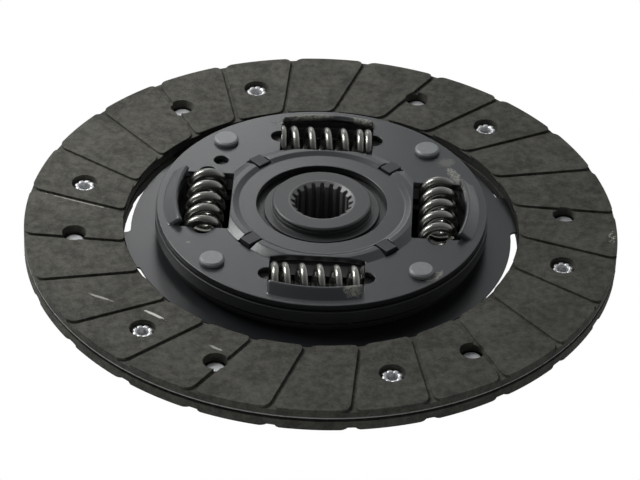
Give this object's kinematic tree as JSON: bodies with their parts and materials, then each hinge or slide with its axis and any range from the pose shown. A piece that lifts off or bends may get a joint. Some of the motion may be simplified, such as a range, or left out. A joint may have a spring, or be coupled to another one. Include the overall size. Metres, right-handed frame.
{
  "type": "clutch disc",
  "caption": "Round clutch disc with grooved friction facings, sprung windows, a splined hub and a plate riveted between the facings.",
  "frame": {"origin": "on the hub's axis, at the hub's rear (engine side) face, which is the lowest face of the part", "axes": "+Z along the hub's axis from the flywheel side towards the gearbox side, where the front cover and its spring windows are; +X and +Y in the disc's plane, with the spring windows about 1.3 degrees clockwise of X and Y"},
  "size_m": [0.2, 0.2, 0.027],
  "materials": {
    "facing": "matt, mottled",
    "cushion_steel": "satin, oiled",
    "rivet": "bright",
    "cover": "satin",
    "hub": "satin, phosphated",
    "spring": "satin, oiled",
    "pin": "satin",
    "friction_ring": "matt",
    "washer": "satin",
    "bush": "matt"
  },
  "bodies": {
    "disc": {"upper_facing": "facing", "lower_facing": "facing", "cushion_plate": "cushion_steel", "upper_facing_rivets": "rivet", "lower_facing_rivets": "rivet", "front_cover": "cover", "rear_cover": "cover", "right_spring": "spring", "far_spring": "spring", "left_spring": "spring", "near_spring": "spring", "stop_pin_1": "pin", "stop_pin_2": "pin", "stop_pin_3": "pin", "stop_pin_4": "pin", "front_friction_ring": "friction_ring", "rear_friction_washer": "friction_ring", "support_washer": "washer", "disc_spring": "washer", "centring_bush": "bush"},
    "hub": {"hub": "hub"}
  },
  "joints": [
    {"name": "hub_twist", "type": "hinge", "parent": "disc", "child": "hub", "pos_m": [0, 0, 0.019], "axis": [0, 0, 1], "range_deg": [-6, 6], "stiffness_Nm_per_rad": 8, "deforming": ["right_spring", "far_spring", "left_spring", "near_spring"]}
  ]
}
